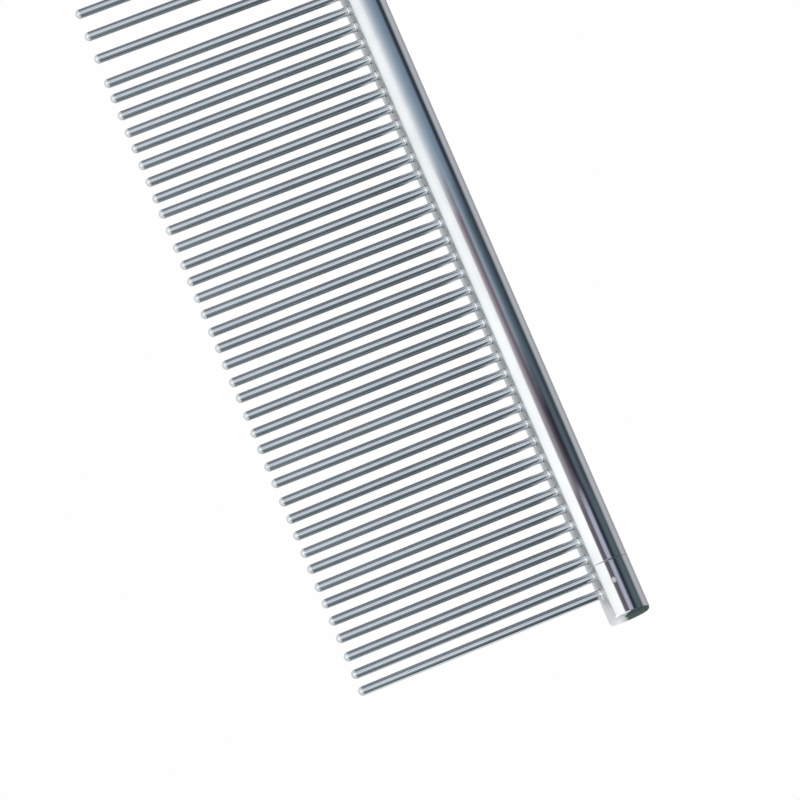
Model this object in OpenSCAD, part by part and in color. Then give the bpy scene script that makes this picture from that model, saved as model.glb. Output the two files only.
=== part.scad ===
// Steel grooming comb: a hollow D-section spine, closed by a cap at each end, with one row of
// round teeth that are medium spaced on one half and coarse spaced on the other. The teeth pass
// through the flat underside of the spine and are held by an anchor bar inside it.
//
// +X runs along the spine towards the medium end, the teeth point along -Y, and +Z is up when the
// comb lies on its side. The origin is on the flat underside of the spine, halfway along it and
// on the line of tooth centres.

/* [Medium teeth] */
// Number of medium teeth
medium_count = 37; // [8:1:44]
// Distance between the centres of medium teeth
medium_pitch = 2.5; // [2:0.1:3]

/* [Coarse teeth] */
// Number of coarse teeth
coarse_count = 26; // [8:1:32]
// Distance between the centres of coarse teeth
coarse_pitch = 3.5; // [3:0.1:5]

/* [Tooth] */
// How far a tooth reaches past the spine
tooth_reach = 35; // [20:0.5:45]
// Diameter of a tooth where it leaves the spine
tooth_d = 1.38; // [1:0.02:1.5]
// Diameter at the start of the domed tip, as a share of the tooth's diameter
tip_share = 0.94; // [0.8:0.02:1]
// Share of the reach that is straight, before the taper starts
straight_share = 0.5; // [0.2:0.1:0.9]

/* [Spine] */
// Radius of the round back
back_r = 3.57; // [3.4:0.01:4.2]
// Distance from the flat underside to the centre of the round back
back_centre = 1.8; // [1.5:0.05:2.2]
// Radius on the two long edges between the back and the underside
edge_r = 0.35; // [0.1:0.05:0.6]
// Thickness of the tube's wall
wall = 0.8; // [0.5:0.05:1]
// Distance from the last tooth's centre to the end of the spine
end_margin = 4.4; // [3.5:0.1:6]

/* [End caps] */
// Place of the cap's joint, in tooth pitches past the last tooth
cap_pitches = 1.4; // [1.4:0.05:1.6]
// Thickness of the cap's end wall
cap_wall = 1.2; // [0.8:0.1:1.5]
// Radius round the edge of the cap's end face
end_r = 0.6; // [0.2:0.05:0.75]
// Place of the stake marks, as a share of the cap's length from its joint
stake_share = 0.35; // [0.2:0.05:0.7]
// Diameter of the stake mark on each side of a cap
stake_d = 0.8; // [0.6:0.1:1.4]
// Depth of a stake mark
stake_depth = 0.05; // [0.05:0.05:0.2]

/* [Anchor bar] */
// Height of the bar, which is as wide as the hollow is at the bar's top
bar_h = 2.6; // [2:0.1:2.8]
// Depth to which each tooth is pressed into the bar
seat_depth = 2.2; // [1:0.1:2.4]

/* [Hidden] */
$fn = 96;
// Clearance between a tooth and its hole, and between neighbouring pieces
gap = 0.02;
// Teeth that share one node
per_node = 2;
// Overshoot of a cutting shape past the face that it cuts
over = 1;

spine_len = 2 * end_margin + (medium_count - 1) * medium_pitch + coarse_count * coarse_pitch;
spine_h = back_centre + back_r;
medium_cap_len = end_margin + cap_pitches * medium_pitch;
coarse_cap_len = end_margin + cap_pitches * coarse_pitch;
seat_top = wall + seat_depth;
tip_r = tip_share * tooth_d / 2;
bar_top = wall + gap + bar_h;
bar_w = 2 * (sqrt(pow(back_r - wall, 2) - pow(bar_top - back_centre, 2)) - gap);

// Places of the teeth along X, each row counted from its own end of the comb
medium_places = [for (i = [0:medium_count - 1]) spine_len / 2 - end_margin - i * medium_pitch];
coarse_places = [for (i = [0:coarse_count - 1]) end_margin - spine_len / 2 + i * coarse_pitch];

// Number of nodes that hold a given number of teeth
function groups(count) = ceil(count / per_node);
// Name of tooth group g, such as medium_teeth_07
function group_name(kind, g) = str(kind, "_teeth_", g < 10 ? "0" : "", g);

// Extrudes a section along X: its own X becomes height along Y, and its own Y becomes Z
module extrude_along_x(length) {
    rotate([90, 0, 90]) linear_extrude(length) children();
}

// The spine's outer section: a disc about the centre of the back, cut off by the underside at
// height 0, with both corners rounded
module outer_section() {
    drop = back_centre - edge_r;
    corner_z = sqrt(pow(back_r - edge_r, 2) - pow(drop, 2));
    far = 4 * back_r;
    // The part of the disc between the rays from its centre through the corners' centres
    translate([back_centre, 0]) intersection() {
        circle(back_r);
        polygon([
            [0, 0], [-4 * drop, 4 * corner_z], [far, far], [far, -far], [-4 * drop, -4 * corner_z]
        ]);
    }
    translate([0, -corner_z]) square([back_centre, 2 * corner_z]);
    for (side = [-1, 1])
        translate([edge_r, side * corner_z]) circle(edge_r);
}

// The section of the hollow inside the spine
module hollow_section() {
    intersection() {
        translate([back_centre, 0]) circle(back_r - wall);
        translate([wall, -back_r]) square(2 * back_r);
    }
}

// Cutters for the holes of the teeth at the given places
module tooth_holes(places) {
    for (x = places)
        translate([x, seat_top, 0]) rotate([90, 0, 0])
            cylinder(d = tooth_d + 2 * gap, h = seat_top + over);
}

// Plate from the origin to [width, length] whose far outer corner is rounded
module rounded_corner_plate(width, length) {
    square([width, length - end_r]);
    square([width - end_r, length]);
    translate([width - end_r, length - end_r]) circle(end_r);
}

// Outer form of a cap, from its joint at x = 0 to its rounded end face at x = length
module cap_form(length) {
    intersection() {
        extrude_along_x(length) outer_section();
        // Rounds the end of the back
        translate([0, back_centre, 0]) rotate([0, 90, 0])
            rotate_extrude() rounded_corner_plate(back_r, length);
        // Rounds the end of the underside
        translate([0, spine_h, -back_r]) rotate([0, 0, -90])
            linear_extrude(2 * back_r) rounded_corner_plate(spine_h, length);
    }
}

// Cap that closes the +X end of the spine, with holes for the teeth at the given places
module end_cap(length, places) {
    joint_x = spine_len / 2 - length;
    stake_x = joint_x + stake_share * length;
    // Radius of the ball that leaves a mark of the stake's diameter and depth
    stake_r = (pow(stake_d / 2, 2) + pow(stake_depth, 2)) / (2 * stake_depth);
    difference() {
        translate([joint_x + gap, 0, 0]) cap_form(length - gap);
        translate([joint_x - over, 0, 0])
            extrude_along_x(length - cap_wall + over) hollow_section();
        tooth_holes([for (x = places) if (x > joint_x) x]);
        for (side = [-1, 1])
            translate([stake_x, back_centre, side * (back_r - stake_depth + stake_r)])
                sphere(stake_r);
    }
}

module end_cap_medium() {
    color("gainsboro") end_cap(medium_cap_len, medium_places);
}

module end_cap_coarse() {
    color("gainsboro") mirror([1, 0, 0]) end_cap(coarse_cap_len, -coarse_places);
}

module spine_tube() {
    length = spine_len - medium_cap_len - coarse_cap_len;
    color("silver") difference() {
        translate([coarse_cap_len - spine_len / 2, 0, 0]) difference() {
            extrude_along_x(length) outer_section();
            translate([-over, 0, 0]) extrude_along_x(length + 2 * over) hollow_section();
        }
        tooth_holes(concat(medium_places, coarse_places));
    }
}

module anchor_bar() {
    length = spine_len - 2 * (cap_wall + gap);
    color("darkkhaki") difference() {
        translate([-length / 2, wall + gap, -bar_w / 2]) cube([length, bar_h, bar_w]);
        tooth_holes(concat(medium_places, coarse_places));
    }
}

// One tooth, from its seat in the anchor bar to its domed tip
module tooth() {
    taper_start = straight_share * tooth_reach;
    tip_start = tooth_reach - tip_r;
    rotate([90, 0, 0]) {
        translate([0, 0, gap - seat_top])
            cylinder(d = tooth_d, h = seat_top - gap + taper_start);
        translate([0, 0, taper_start])
            cylinder(d1 = tooth_d, d2 = 2 * tip_r, h = tip_start - taper_start);
        translate([0, 0, tip_start]) sphere(tip_r);
    }
}

// Group g of a row of teeth: neighbouring teeth, each a solid of its own
module tooth_group(places, g) {
    first = (g - 1) * per_node;
    last = min(first + per_node, len(places)) - 1;
    color("lightsteelblue")
        for (i = [first:last]) translate([places[i], 0, 0]) tooth();
}

spine_tube();
anchor_bar();
end_cap_medium();
end_cap_coarse();
for (g = [1:groups(medium_count)])
    tooth_group(medium_places, g);
for (g = [1:groups(coarse_count)])
    tooth_group(coarse_places, g);
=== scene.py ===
"""Looks of the steel grooming comb: plated spine, end caps and teeth, in a white studio."""

import math
import random

import bmesh
import bpy
from mathutils import Matrix, Vector


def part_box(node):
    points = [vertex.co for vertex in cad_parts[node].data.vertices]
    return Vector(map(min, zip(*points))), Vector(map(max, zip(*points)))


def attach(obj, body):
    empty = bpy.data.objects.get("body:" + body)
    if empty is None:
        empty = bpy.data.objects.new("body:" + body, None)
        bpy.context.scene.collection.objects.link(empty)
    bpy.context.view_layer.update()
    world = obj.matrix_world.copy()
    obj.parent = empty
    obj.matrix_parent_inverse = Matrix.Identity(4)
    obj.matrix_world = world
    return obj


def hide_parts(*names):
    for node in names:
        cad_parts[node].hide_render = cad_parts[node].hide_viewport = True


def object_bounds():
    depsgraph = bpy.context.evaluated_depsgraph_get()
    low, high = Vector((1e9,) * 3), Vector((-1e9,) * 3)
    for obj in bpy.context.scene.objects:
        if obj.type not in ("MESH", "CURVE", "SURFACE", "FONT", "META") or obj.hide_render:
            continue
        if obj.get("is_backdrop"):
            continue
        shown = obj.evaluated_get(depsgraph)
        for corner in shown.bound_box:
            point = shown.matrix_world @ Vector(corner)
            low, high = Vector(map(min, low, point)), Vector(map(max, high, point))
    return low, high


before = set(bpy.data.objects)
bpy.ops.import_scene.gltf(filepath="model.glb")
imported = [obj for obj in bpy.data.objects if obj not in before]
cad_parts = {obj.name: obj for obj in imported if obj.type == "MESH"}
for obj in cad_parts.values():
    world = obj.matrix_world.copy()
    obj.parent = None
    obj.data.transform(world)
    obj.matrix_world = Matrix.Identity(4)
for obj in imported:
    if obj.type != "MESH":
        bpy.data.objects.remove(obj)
cad_low, cad_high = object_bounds()
MM = 0.001
BODY = "root"
rng = random.Random(7)

# ---------------------------------------------------------------- sizes, in metres

# Read from the frame
tube_low, tube_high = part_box("spine_tube")
first_tooth_low, first_tooth_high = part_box("medium_teeth_01")
back_r = (tube_high.z - tube_low.z) / 2
back_centre = tube_high.y - back_r
tooth_r = (first_tooth_high.z - first_tooth_low.z) / 2
tooth_reach = -first_tooth_low.y
seat_y = first_tooth_high.y
last_tooth_x = first_tooth_high.x - tooth_r

# Sizes of the spine's details
WALL = 0.8 * MM
EDGE_R = 0.35 * MM
END_R = 0.6 * MM
JOINT_R = 0.07 * MM
CAP_WALL = 1.2 * MM
COLLAR_R = 0.21 * MM
HOLE_GAP = 0.02 * MM
STAKE_SHARE = 0.35
STAKE_HALF = (0.5 * MM, 0.44 * MM)
STAKE_DEPTH = 0.009 * MM

# Fineness of the meshes
BACK_STEPS = 110
EDGE_STEPS = 6
COLLAR_STEPS = 4
ROUND_STEPS = 8
# Distance from a rounding to the ring that keeps its shading off the face beside it
SUPPORT = 0.02 * MM
TOOTH_SIDES = 32
DOME_STEPS = 9

# A tooth's tip radius and straight length as shares of its radius and reach, and its most lean
TIP_SHARE = 0.94
STRAIGHT_SHARE = 0.5
LEAN = math.radians(0.22)


# ---------------------------------------------------------------- small helpers

def new_piece(name, verts, faces, material, sharp=30):
    """A smooth-shaded mesh object that rides on the comb's one body."""
    mesh = bpy.data.meshes.new(name)
    mesh.from_pydata(verts, [], faces)
    shell = bmesh.new()
    shell.from_mesh(mesh)
    loose = [v for v in shell.verts if not v.link_faces]
    bmesh.ops.delete(shell, geom=loose, context="VERTS")
    bmesh.ops.recalc_face_normals(shell, faces=shell.faces)
    shell.to_mesh(mesh)
    shell.free()
    mesh.shade_smooth()
    mesh.set_sharp_from_angle(angle=math.radians(sharp))
    mesh.materials.append(material)
    piece = bpy.data.objects.new(name, mesh)
    bpy.context.scene.collection.objects.link(piece)
    # Keeps the reflections on the large faces true right up to the small rounded edges
    normals = piece.modifiers.new("normals", "WEIGHTED_NORMAL")
    normals.weight = 100
    normals.keep_sharp = True
    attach(piece, BODY)
    return piece


class MeshParts:
    """Vertices and faces that are added ring by ring."""

    def __init__(self):
        self.verts = []
        self.faces = []

    def ring(self, points):
        """Adds the points and returns their indices."""
        start = len(self.verts)
        self.verts.extend(points)
        return list(range(start, len(self.verts)))

    def bridge(self, a, b, closed=True):
        """Quads from ring a to ring b, which have equally many points."""
        count = len(a)
        for i in range(count if closed else count - 1):
            j = (i + 1) % count
            self.faces.append((a[i], a[j], b[j], b[i]))

    def cap(self, ring):
        self.faces.append(tuple(ring))


# ---------------------------------------------------------------- spine section

def arc(centre, radius, start, end, steps):
    """Points on an arc in the section plane, from angle start to end, both included."""
    angles = [start + (end - start) * i / steps for i in range(steps + 1)]
    return [(centre[0] + radius * math.cos(a), centre[1] + radius * math.sin(a)) for a in angles]


def section(inset, side_steps, edge_r=EDGE_R):
    """
    The spine's D-shaped outline, moved inwards by inset, as (y, z) points.
    It starts with the flat, from -Z to +Z in side_steps steps, and goes on round the back.
    """
    r = back_r - inset
    corner_r = max(edge_r - inset, 0.04 * MM)
    corner_y = inset + corner_r
    corner_z = math.sqrt((r - corner_r) ** 2 - (back_centre - corner_y) ** 2)
    turn = math.atan2(corner_z, corner_y - back_centre)
    flat = [(inset, corner_z * (2 * i / side_steps - 1)) for i in range(side_steps)]
    near = arc((corner_y, corner_z), corner_r, math.pi, turn, EDGE_STEPS)[:-1]
    back = arc((back_centre, 0), r, turn, -turn, BACK_STEPS)
    far = arc((corner_y, -corner_z), corner_r, -turn, -math.pi, EDGE_STEPS)[1:-1]
    return flat + near + back + far


# ---------------------------------------------------------------- spine tube and caps

def round_off(parts, rim, radius, x_at, side_steps):
    """
    Rounds the edge between the skin, which ends in rim, and an end face. x_at gives X at a
    distance from the end face. The ring on the end face is returned.
    """
    for i in range(ROUND_STEPS + 1):
        a = math.pi / 2 * i / ROUND_STEPS
        x = x_at(radius * (1 - math.sin(a)))
        outline = section(radius * (1 - math.cos(a)), side_steps)
        ring = parts.ring([(x, y, z) for y, z in outline])
        parts.bridge(rim, ring)
        rim = ring
    return rim


def hole_cell(parts, place, rings, centre, steps, side_steps):
    """
    Fills the flat between side_steps + 1 rings of the skin, round a hole at centre.
    Each of steps is the radius and height of one more ring; the last ring is returned.
    """
    n = side_steps
    outline = [rings[0][i] for i in range(n)]
    outline += [rings[i][n] for i in range(n)]
    outline += [rings[n][n - i] for i in range(n)]
    outline += [rings[n - i][0] for i in range(n)]
    for radius, y in steps:
        circle = []
        for j in range(4 * n):
            a = math.radians(225 - 90 * j / n)
            circle.append((place(centre + radius * math.cos(a)), y, radius * math.sin(a)))
        ring = parts.ring(circle)
        parts.bridge(outline, ring)
        outline = ring
    return outline


def collar(room):
    """Radius and height of the rings of a brazed collar round a tooth, in a cell with that room."""
    r = tooth_r + HOLE_GAP
    size = min(COLLAR_R, 0.8 * (room - r))
    steps = [(r + size + SUPPORT, 0)]
    for i in range(COLLAR_STEPS + 1):
        a = math.pi / 2 * i / COLLAR_STEPS
        steps.append((r + size * (1 - math.sin(a)), -size * (1 - math.cos(a))))
    return steps


def stake_press(point, stake_x):
    """How hard a stake mark presses on a point: 1 at a mark's middle, 0 from its rim outwards."""
    x, y, z = point
    across = (x - stake_x) / STAKE_HALF[0]
    along = (y - back_centre) / STAKE_HALF[1]
    d = across * across + along * along
    return 0 if d >= 1 or abs(z) < back_r / 2 else (1 - d) ** 2


def dent(point, stake_x):
    """Presses a point of the skin in where it lies under one of the two stake marks."""
    x, y, z = point
    return (x, y, z - math.copysign(STAKE_DEPTH * stake_press(point, stake_x), z))


def spine_shell(name, joint, end, teeth, closed, side_steps, material):
    """
    A stretch of the hollow spine from a joint to an end along X, drilled for the teeth in it.
    A closed one has an end wall with a rounded edge; an open one ends in a second joint.
    """
    parts = MeshParts()
    sign = 1 if end > joint else -1
    length = abs(end - joint)

    def place(depth):
        return joint + sign * depth

    def outline_ring(depth, inset):
        return parts.ring([(place(depth), y, z) for y, z in section(inset, side_steps)])

    centres = sorted(sign * (x - joint) for x in teeth)
    first = JOINT_R + SUPPORT
    last = length - (CAP_WALL if closed else first)
    edges = [first] + [(a + b) / 2 for a, b in zip(centres, centres[1:])] + [last]
    stations = [first]
    for a, b in zip(edges, edges[1:]):
        stations += [a + (b - a) * i / side_steps for i in range(1, side_steps + 1)]

    outer = [outline_ring(s, 0) for s in stations]
    inner = [outline_ring(s, WALL) for s in stations]
    for rings in (outer, inner):
        for a, b in zip(rings, rings[1:]):
            parts.bridge(a[side_steps:] + a[:1], b[side_steps:] + b[:1], closed=False)
    for k, centre in enumerate(centres):
        span = slice(k * side_steps, (k + 1) * side_steps + 1)
        room = min(centre - edges[k], edges[k + 1] - centre)
        outside = hole_cell(parts, place, outer[span], centre, collar(room), side_steps)
        bore = [(tooth_r + HOLE_GAP, WALL)]
        inside = hole_cell(parts, place, inner[span], centre, bore, side_steps)
        parts.bridge(outside, inside)

    rim = round_off(parts, outer[0], JOINT_R, place, side_steps)
    mouth = outline_ring(0, WALL)
    parts.bridge(rim, mouth)
    parts.bridge(mouth, inner[0])

    def from_end(distance):
        return place(length - distance)

    if closed:
        support = outline_ring(length - END_R - SUPPORT, 0)
        parts.bridge(outer[-1], support)
        parts.cap(round_off(parts, support, END_R, from_end, side_steps))
        parts.cap(inner[-1])
        stake_x = place(STAKE_SHARE * length)
        skin = len(outer) * len(outer[0])
        parts.verts[:skin] = [dent(point, stake_x) for point in parts.verts[:skin]]
    else:
        rim = round_off(parts, outer[-1], JOINT_R, from_end, side_steps)
        mouth = outline_ring(length, WALL)
        parts.bridge(rim, mouth)
        parts.bridge(mouth, inner[-1])
    piece = new_piece(name, parts.verts, parts.faces, material)
    if closed:
        # The punch leaves a mark that is duller than the polish around it
        mark = piece.data.attributes.new("stake", "FLOAT", "POINT")
        for item, vertex in zip(mark.data, piece.data.vertices):
            item.value = stake_press(vertex.co, stake_x)
    return piece


# ---------------------------------------------------------------- teeth

def tooth_places(kind):
    """X of each tooth of a kind with its CAD node, from its own end of the comb."""
    places = []
    for node in sorted(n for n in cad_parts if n.startswith(kind + "_teeth_")):
        low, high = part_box(node)
        # The same place twice where the node holds a single tooth
        pair = {round(low.x + tooth_r, 5), round(high.x - tooth_r, 5)}
        places += [(x, node) for x in sorted(pair, reverse=kind == "medium")]
    return places


def tooth_profile():
    """Height and radius of each ring of a tooth, from its seat to just before its tip."""
    tip_r = TIP_SHARE * tooth_r
    dome_y = tip_r - tooth_reach
    profile = [(seat_y, tooth_r), (-STRAIGHT_SHARE * tooth_reach, tooth_r)]
    for i in range(DOME_STEPS):
        a = math.pi / 2 * i / DOME_STEPS
        profile.append((dome_y - tip_r * math.sin(a), tip_r * math.cos(a)))
    return profile


def make_tooth(name, x, node, material):
    """One tooth, leaning a little its own way as a pressed-in pin does."""
    parts = MeshParts()
    rings = []
    for y, r in tooth_profile():
        angles = [2 * math.pi * i / TOOTH_SIDES for i in range(TOOTH_SIDES)]
        rings.append(parts.ring([(r * math.sin(a), y, r * math.cos(a)) for a in angles]))
    for a, b in zip(rings, rings[1:]):
        parts.bridge(a, b)
    parts.cap(rings[0][::-1])
    tip = parts.ring([(0, -tooth_reach, 0)])[0]
    for i in range(TOOTH_SIDES):
        parts.faces.append((rings[-1][i], rings[-1][(i + 1) % TOOTH_SIDES], tip))
    lean = Matrix.Rotation(rng.uniform(-LEAN, LEAN), 3, "Z") @ Matrix.Rotation(
        rng.uniform(-LEAN, LEAN), 3, "X")
    verts = [lean @ Vector(v) + Vector((x, 0, 0)) for v in parts.verts]
    piece = new_piece(name, verts, parts.faces, material)
    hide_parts(node)
    return piece


# ---------------------------------------------------------------- materials

# Scales of the noise in the metal: polishing lines, patches of colour and slow waves
LINE_SCALE = 6000
PATCH_SCALE = 160
WAVE_SCALE = 120
LINE_DEPTH = 0.002 * MM
WAVE_DEPTH = 0.05 * MM
# Roughness that the unpolished underside and the middle of a stake mark add
SATIN_ROUGHNESS = 0.4
STAKE_ROUGHNESS = 0.5


def linear(*rgb):
    """A colour given as 0 to 255 values, in the renderer's linear scale."""
    parts = [c / 255 for c in rgb]
    return [c / 12.92 if c <= 0.04045 else ((c + 0.055) / 1.055) ** 2.4 for c in parts] + [1]


class Nodes:
    """A node tree, with short calls that add a node and link its inputs."""

    def __init__(self, tree):
        self.tree = tree
        tree.nodes.clear()

    def add(self, kind, inputs=None, **settings):
        node = self.tree.nodes.new(kind)
        for key, value in settings.items():
            setattr(node, key, value)
        for key, value in (inputs or {}).items():
            if isinstance(value, bpy.types.NodeSocket):
                self.tree.links.new(value, node.inputs[key])
            else:
                node.inputs[key].default_value = value
        return node

    def math(self, operation, a, b=0.0, c=0.0):
        return self.add("ShaderNodeMath", {0: a, 1: b, 2: c}, operation=operation).outputs[0]

    def map_range(self, value, low, high, to_low=0.0, to_high=1.0, kind="LINEAR"):
        node = self.add("ShaderNodeMapRange", {
            "Value": value, "From Min": low, "From Max": high,
            "To Min": to_low, "To Max": to_high}, interpolation_type=kind)
        return node.outputs["Result"]

    def noise(self, vector, scale, detail=2.0, roughness=0.5):
        node = self.add("ShaderNodeTexNoise", {
            "Vector": vector, "Scale": scale, "Detail": detail, "Roughness": roughness})
        return node.outputs["Fac"]

    def mix(self, factor, a, b):
        node = self.add("ShaderNodeMix", {0: factor, 6: a, 7: b}, data_type="RGBA")
        return node.outputs[2]

    def bump(self, height, distance, strength=1.0, normal=None):
        inputs = {"Height": height, "Distance": distance, "Strength": strength}
        if normal is not None:
            inputs["Normal"] = normal
        return self.add("ShaderNodeBump", inputs).outputs["Normal"]

    def ramp(self, factor, stops):
        node = self.add("ShaderNodeValToRGB", {"Fac": factor})
        elements = node.color_ramp.elements
        while len(elements) < len(stops):
            elements.new(0.5)
        for element, (position, colour) in zip(elements, stops):
            element.position = position
            element.color = colour
        return node.outputs["Color"]


def new_material(name):
    material = bpy.data.materials.new(name)
    material.use_nodes = True
    return material, Nodes(material.node_tree)


def metal(name, light, dark, polish, grain, satin_underside=False):
    """
    Bright plated metal. polish is the roughness from best to worst, and grain stretches the
    polishing marks: its smallest component is the way that they run. A mesh's "stake" attribute
    dulls its stake marks.
    """
    material, n = new_material(name)
    coord = n.add("ShaderNodeTexCoord").outputs["Object"]
    along = n.add("ShaderNodeMapping", {"Vector": coord, "Scale": grain}).outputs["Vector"]
    lines = n.noise(along, LINE_SCALE, 3)
    patches = n.noise(coord, PATCH_SCALE, 4, 0.6)
    waves = n.noise(coord, WAVE_SCALE, 1)
    colour = n.mix(n.map_range(patches, 0.35, 0.65), dark, light)
    rough = n.map_range(n.math("ADD", lines, patches), 0.7, 1.3, *polish)
    stake = n.add("ShaderNodeAttribute", attribute_name="stake").outputs["Fac"]
    rough = n.math("MULTIPLY_ADD", stake, STAKE_ROUGHNESS, rough)
    if satin_underside:
        normal = n.add("ShaderNodeNewGeometry").outputs["True Normal"]
        down = n.add("ShaderNodeSeparateXYZ", {"Vector": normal}).outputs["Y"]
        flat = n.map_range(down, -0.9, -0.99)
        rough = n.math("ADD", rough, n.math("MULTIPLY", flat, SATIN_ROUGHNESS))
    wavy = n.bump(waves, WAVE_DEPTH, 0.35)
    scratched = n.bump(lines, LINE_DEPTH, 0.5, wavy)
    shader = n.add("ShaderNodeBsdfPrincipled", {
        "Base Color": colour, "Metallic": 1.0, "Roughness": rough, "Normal": scratched})
    n.add("ShaderNodeOutputMaterial", {"Surface": shader.outputs[0]})
    return material


# ---------------------------------------------------------------- studio

# Strength of the room, and what is added to it low down where the teeth's tips mirror it
ROOM_STRENGTH = 1.28
TIP_BOOST = 0.45
# What the camera sees in place of the room and the floor
PAPER = (254, 254, 254)


def studio_sky():
    """
    The soft boxes and dark walls that the metal mirrors. Each ramp goes from straight down,
    through the -Y horizon, overhead and the +Y horizon, to straight down again: one for each of
    four zones of the sky, from nearly overhead to farther and farther over towards -X.
    """
    sky = bpy.data.worlds.new("studio")
    bpy.context.scene.world = sky
    sky.use_nodes = True
    n = Nodes(sky.node_tree)
    direction = n.add("ShaderNodeTexCoord").outputs["Generated"]
    x, y, z = n.add("ShaderNodeSeparateXYZ", {"Vector": direction}).outputs[:3]
    turn = n.math("ADD", n.math("MULTIPLY", n.math("ARCTAN2", y, z), 0.5 / math.pi), 0.5)

    def zone(*stops):
        return n.ramp(turn, [((angle + 180) / 360, linear(*rgb)) for angle, rgb in stops])

    # Alike in all four: the grey that the spine's lower edge mirrors
    low_grey = [(-90, (182, 188, 185)), (-63, (190, 195, 192))]
    banded = zone(
        *low_grey, (-50, (238, 241, 241)), (-25, (255, 255, 255)),
        (-3, (255, 255, 255)), (2, (108, 104, 110)), (16, (88, 80, 92)),
        (23, (168, 170, 184)), (34, (170, 174, 188)), (42, (60, 68, 80)),
        (50, (32, 40, 54)), (60, (80, 90, 98)), (72, (86, 97, 104)), (90, (70, 80, 86)))
    dark = zone(
        *low_grey, (-50, (240, 244, 244)), (-25, (254, 255, 255)),
        (-5, (253, 253, 254)), (2, (156, 152, 158)), (13, (136, 130, 136)),
        (24, (86, 76, 86)), (34, (57, 51, 62)), (44, (40, 44, 54)),
        (56, (84, 94, 104)), (66, (82, 92, 100)), (76, (58, 68, 76)), (90, (66, 74, 82)))
    split = zone(
        *low_grey, (-50, (234, 238, 238)), (-25, (252, 254, 254)),
        (-8, (247, 249, 250)), (0, (243, 243, 246)), (5, (176, 172, 175)),
        (11, (154, 147, 153)), (17, (132, 122, 131)), (22, (114, 100, 111)),
        (28, (116, 112, 124)), (36, (148, 156, 168)), (46, (112, 129, 141)),
        (56, (83, 99, 111)), (66, (72, 83, 95)), (77, (56, 66, 76)), (90, (66, 74, 82)))
    soft = zone(
        *low_grey, (-50, (228, 233, 232)), (-25, (245, 247, 248)),
        (-8, (238, 240, 242)), (8, (195, 200, 208)), (24, (154, 167, 180)),
        (45, (122, 139, 157)), (62, (112, 127, 144)), (72, (54, 64, 74)),
        (84, (48, 56, 66)), (91, (76, 84, 90)))
    colour = n.mix(n.map_range(x, -0.12, -0.128), banded, dark)
    colour = n.mix(n.map_range(x, -0.152, -0.182), colour, split)
    colour = n.mix(n.map_range(x, -0.211, -0.226), colour, soft)

    # Past the four zones, a soft box overhead between two darker walls
    box = zone(
        (-90, (250, 252, 252)), (-20, (255, 255, 255)), (-2, (255, 255, 255)),
        (5, (248, 250, 252)), (18, (236, 239, 242)), (26, (88, 100, 100)),
        (60, (72, 86, 86)), (90, (62, 76, 76)))
    left_wall = zone(
        (-90, (190, 196, 198)), (0, (176, 182, 186)), (7, (150, 158, 164)),
        (14, (120, 128, 134)), (27, (108, 116, 122)), (90, (100, 108, 114)))
    right_wall = zone(
        (-90, (190, 194, 192)), (0, (184, 188, 188)), (7, (142, 152, 156)),
        (15, (76, 88, 92)), (30, (66, 78, 80)), (90, (60, 72, 72)))
    side = n.math("ABSOLUTE", n.math("ADD", x, 0.19))
    beside = n.map_range(side, 0.125, 0.14)
    colour = n.mix(beside, colour, box)
    colour = n.mix(n.map_range(x, -0.4, -0.62, kind="SMOOTHSTEP"), colour, left_wall)
    colour = n.mix(n.map_range(x, 0.12, 0.45, kind="SMOOTHSTEP"), colour, right_wall)

    # The box is brighter low down on the -Y side, where only the teeth's tips mirror it
    low_down = n.math("MULTIPLY", n.map_range(turn, 0.43, 0.38), n.map_range(turn, 0.2, 0.24))
    boost = n.math("MULTIPLY", low_down, beside)
    strength = n.math("MULTIPLY_ADD", boost, TIP_BOOST, ROOM_STRENGTH)
    seen = n.add("ShaderNodeLightPath").outputs["Is Camera Ray"]
    room = n.add("ShaderNodeBackground", {"Color": colour, "Strength": strength})
    paper = n.add("ShaderNodeBackground", {"Color": linear(*PAPER), "Strength": 1.0})
    both = n.add("ShaderNodeMixShader", {0: seen, 1: room.outputs[0], 2: paper.outputs[0]})
    n.add("ShaderNodeOutputWorld", {"Surface": both.outputs[0]})


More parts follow.
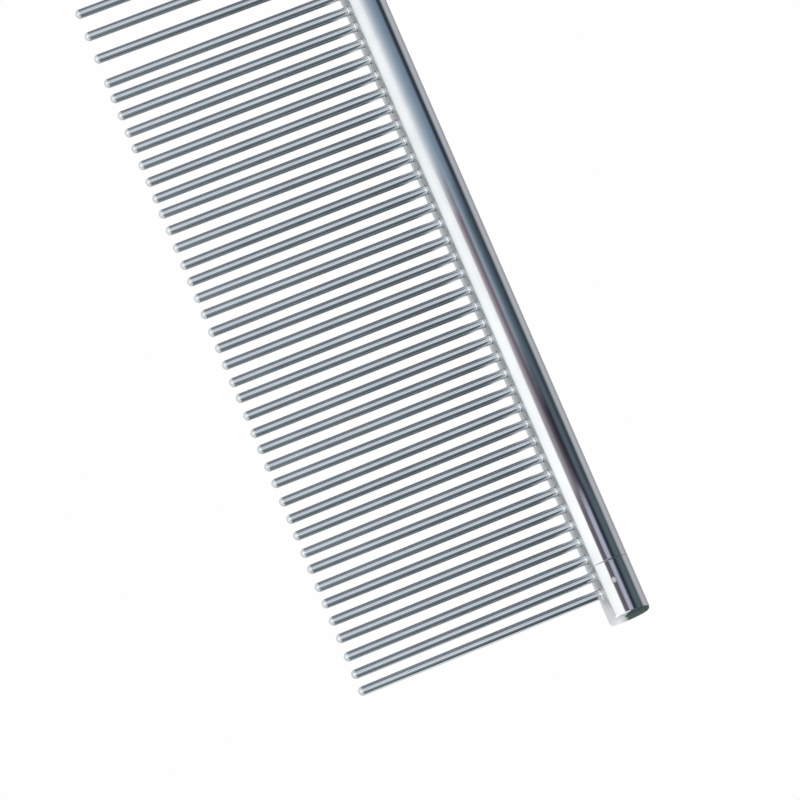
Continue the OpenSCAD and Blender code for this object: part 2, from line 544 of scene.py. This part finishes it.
def studio_floor():
    """A white sweep under the comb, which glows. The metal mirrors it as grey, with painted shade
    that is darker where the comb is near.
    """
    size = 3.0
    z = cad_low.z
    corners = [(-size, -size, z), (size, -size, z), (size, size, z), (-size, size, z)]
    mesh = bpy.data.meshes.new("floor")
    mesh.from_pydata(corners, [], [(0, 1, 2, 3)])
    floor = bpy.data.objects.new("floor", mesh)
    bpy.context.scene.collection.objects.link(floor)
    floor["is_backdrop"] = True
    material, n = new_material("white_sweep")
    place = n.add("ShaderNodeTexCoord").outputs["Object"]
    x, y = n.add("ShaderNodeSeparateXYZ", {"Vector": place}).outputs[:2]
    # The ramp's ends along Y, in millimetres like its stops
    low_y, high_y = -50, 100
    span = high_y - low_y

    def across(*stops):
        factor = n.map_range(y, low_y * MM, high_y * MM)
        return n.ramp(factor, [((at - low_y) / span, linear(*rgb)) for at, rgb in stops])

    # Painted shade in the grey that the metal mirrors: darker bands under the teeth and beside the
    # spine's back, as if they shaded the floor
    near = across(
        (-38, (250, 252, 252)), (-33, (156, 160, 162)), (-20, (136, 141, 143)),
        (-1.7, (114, 119, 121)), (-0.8, (242, 243, 244)), (1.6, (240, 241, 242)),
        (3, (160, 160, 164)), (7, (160, 160, 165)), (16, (196, 197, 202)),
        (30, (196, 198, 202)), (60, (150, 155, 160)))
    # Painted light on the floor past the last tooth, out of the teeth's painted shade, and a
    # painted shadow at the end of the spine
    past_teeth = n.map_range(x, last_tooth_x + 1 * MM, last_tooth_x + 1.5 * MM)
    past_end = n.map_range(x, cad_high.x - 0.2 * MM, cad_high.x)
    unshaded_floor = n.math("MULTIPLY", past_teeth, n.map_range(y, 1 * MM, 0))
    shadow = n.math("MULTIPLY", past_end, n.map_range(y, 2.4 * MM, 2.9 * MM))
    # Painted light past the last tooth, then the painted shadow past the spine's end
    near = n.mix(unshaded_floor, near, linear(236, 238, 238))
    near = n.mix(shadow, near, linear(80, 96, 92))
    seen = n.add("ShaderNodeLightPath").outputs["Is Camera Ray"]
    glow = n.add("ShaderNodeEmission", {"Color": n.mix(seen, near, linear(*PAPER))})
    n.add("ShaderNodeOutputMaterial", {"Surface": glow.outputs[0]})
    mesh.materials.append(material)


def aim_camera(aim, distance, azimuth, elevation, spine_slope, lens):
    """
    Places the camera at that distance from the aim point, azimuth and elevation as in a view.
    spine_slope is the angle at which +X runs across the picture.
    """
    a, e = math.radians(azimuth), math.radians(elevation)
    back = Vector((math.sin(a) * math.cos(e), -math.cos(a) * math.cos(e), math.sin(e)))
    along = (Vector((1, 0, 0)) - back * back.x).normalized()
    across = back.cross(along)
    s = math.radians(spine_slope)
    right = along * math.cos(s) - across * math.sin(s)
    up = along * math.sin(s) + across * math.cos(s)
    data = bpy.data.cameras.new("camera")
    data.lens = lens
    data.clip_start, data.clip_end = 0.01, 20
    camera = bpy.data.objects.new("camera", data)
    bpy.context.scene.collection.objects.link(camera)
    turn = Matrix((right, up, back)).transposed().to_4x4()
    camera.matrix_world = Matrix.Translation(Vector(aim) + back * distance) @ turn
    bpy.context.scene.camera = camera


# ---------------------------------------------------------------- the comb

spine_metal = metal("spine_plating", linear(227, 229, 230), linear(220, 222, 224),
                    (0.02, 0.05), (0.02, 1, 1), satin_underside=True)
tooth_metal = metal("tooth_plating", linear(216, 219, 223), linear(205, 209, 214),
                    (0.05, 0.1), (1, 0.03, 1))
bar_metal = metal("drawn_bar", linear(178, 176, 170), linear(150, 148, 142),
                  (0.3, 0.45), (0.02, 1, 1))

teeth = {kind: tooth_places(kind) for kind in ("medium", "coarse")}
for kind, places in teeth.items():
    for i, (x, node) in enumerate(places):
        make_tooth(f"{kind}_tooth_{i + 1:02d}", x, node, tooth_metal)

every_x = [x for places in teeth.values() for x, node in places]
tube = spine_shell(
    "spine_tube_skin", tube_low.x, tube_high.x,
    [x for x in every_x if tube_low.x < x < tube_high.x], False, 6, spine_metal)
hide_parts("spine_tube")
for kind in ("medium", "coarse"):
    low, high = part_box("end_cap_" + kind)
    joint, end = (low.x, high.x) if kind == "medium" else (high.x, low.x)
    cap = spine_shell(
        "end_cap_skin_" + kind, joint, end, [x for x in every_x if low.x < x < high.x],
        True, 24, spine_metal)
    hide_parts("end_cap_" + kind)

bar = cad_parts["anchor_bar"]
bar.data.materials.clear()
bar.data.materials.append(bar_metal)

studio_sky()
studio_floor()
aim_camera(
    aim=(0.0561, -0.0146, 0), distance=0.4699, azimuth=49.6, elevation=77.1,
    spine_slope=-66.9, lens=157.5)
bpy.context.scene.view_settings.view_transform = "Standard"

low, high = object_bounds()
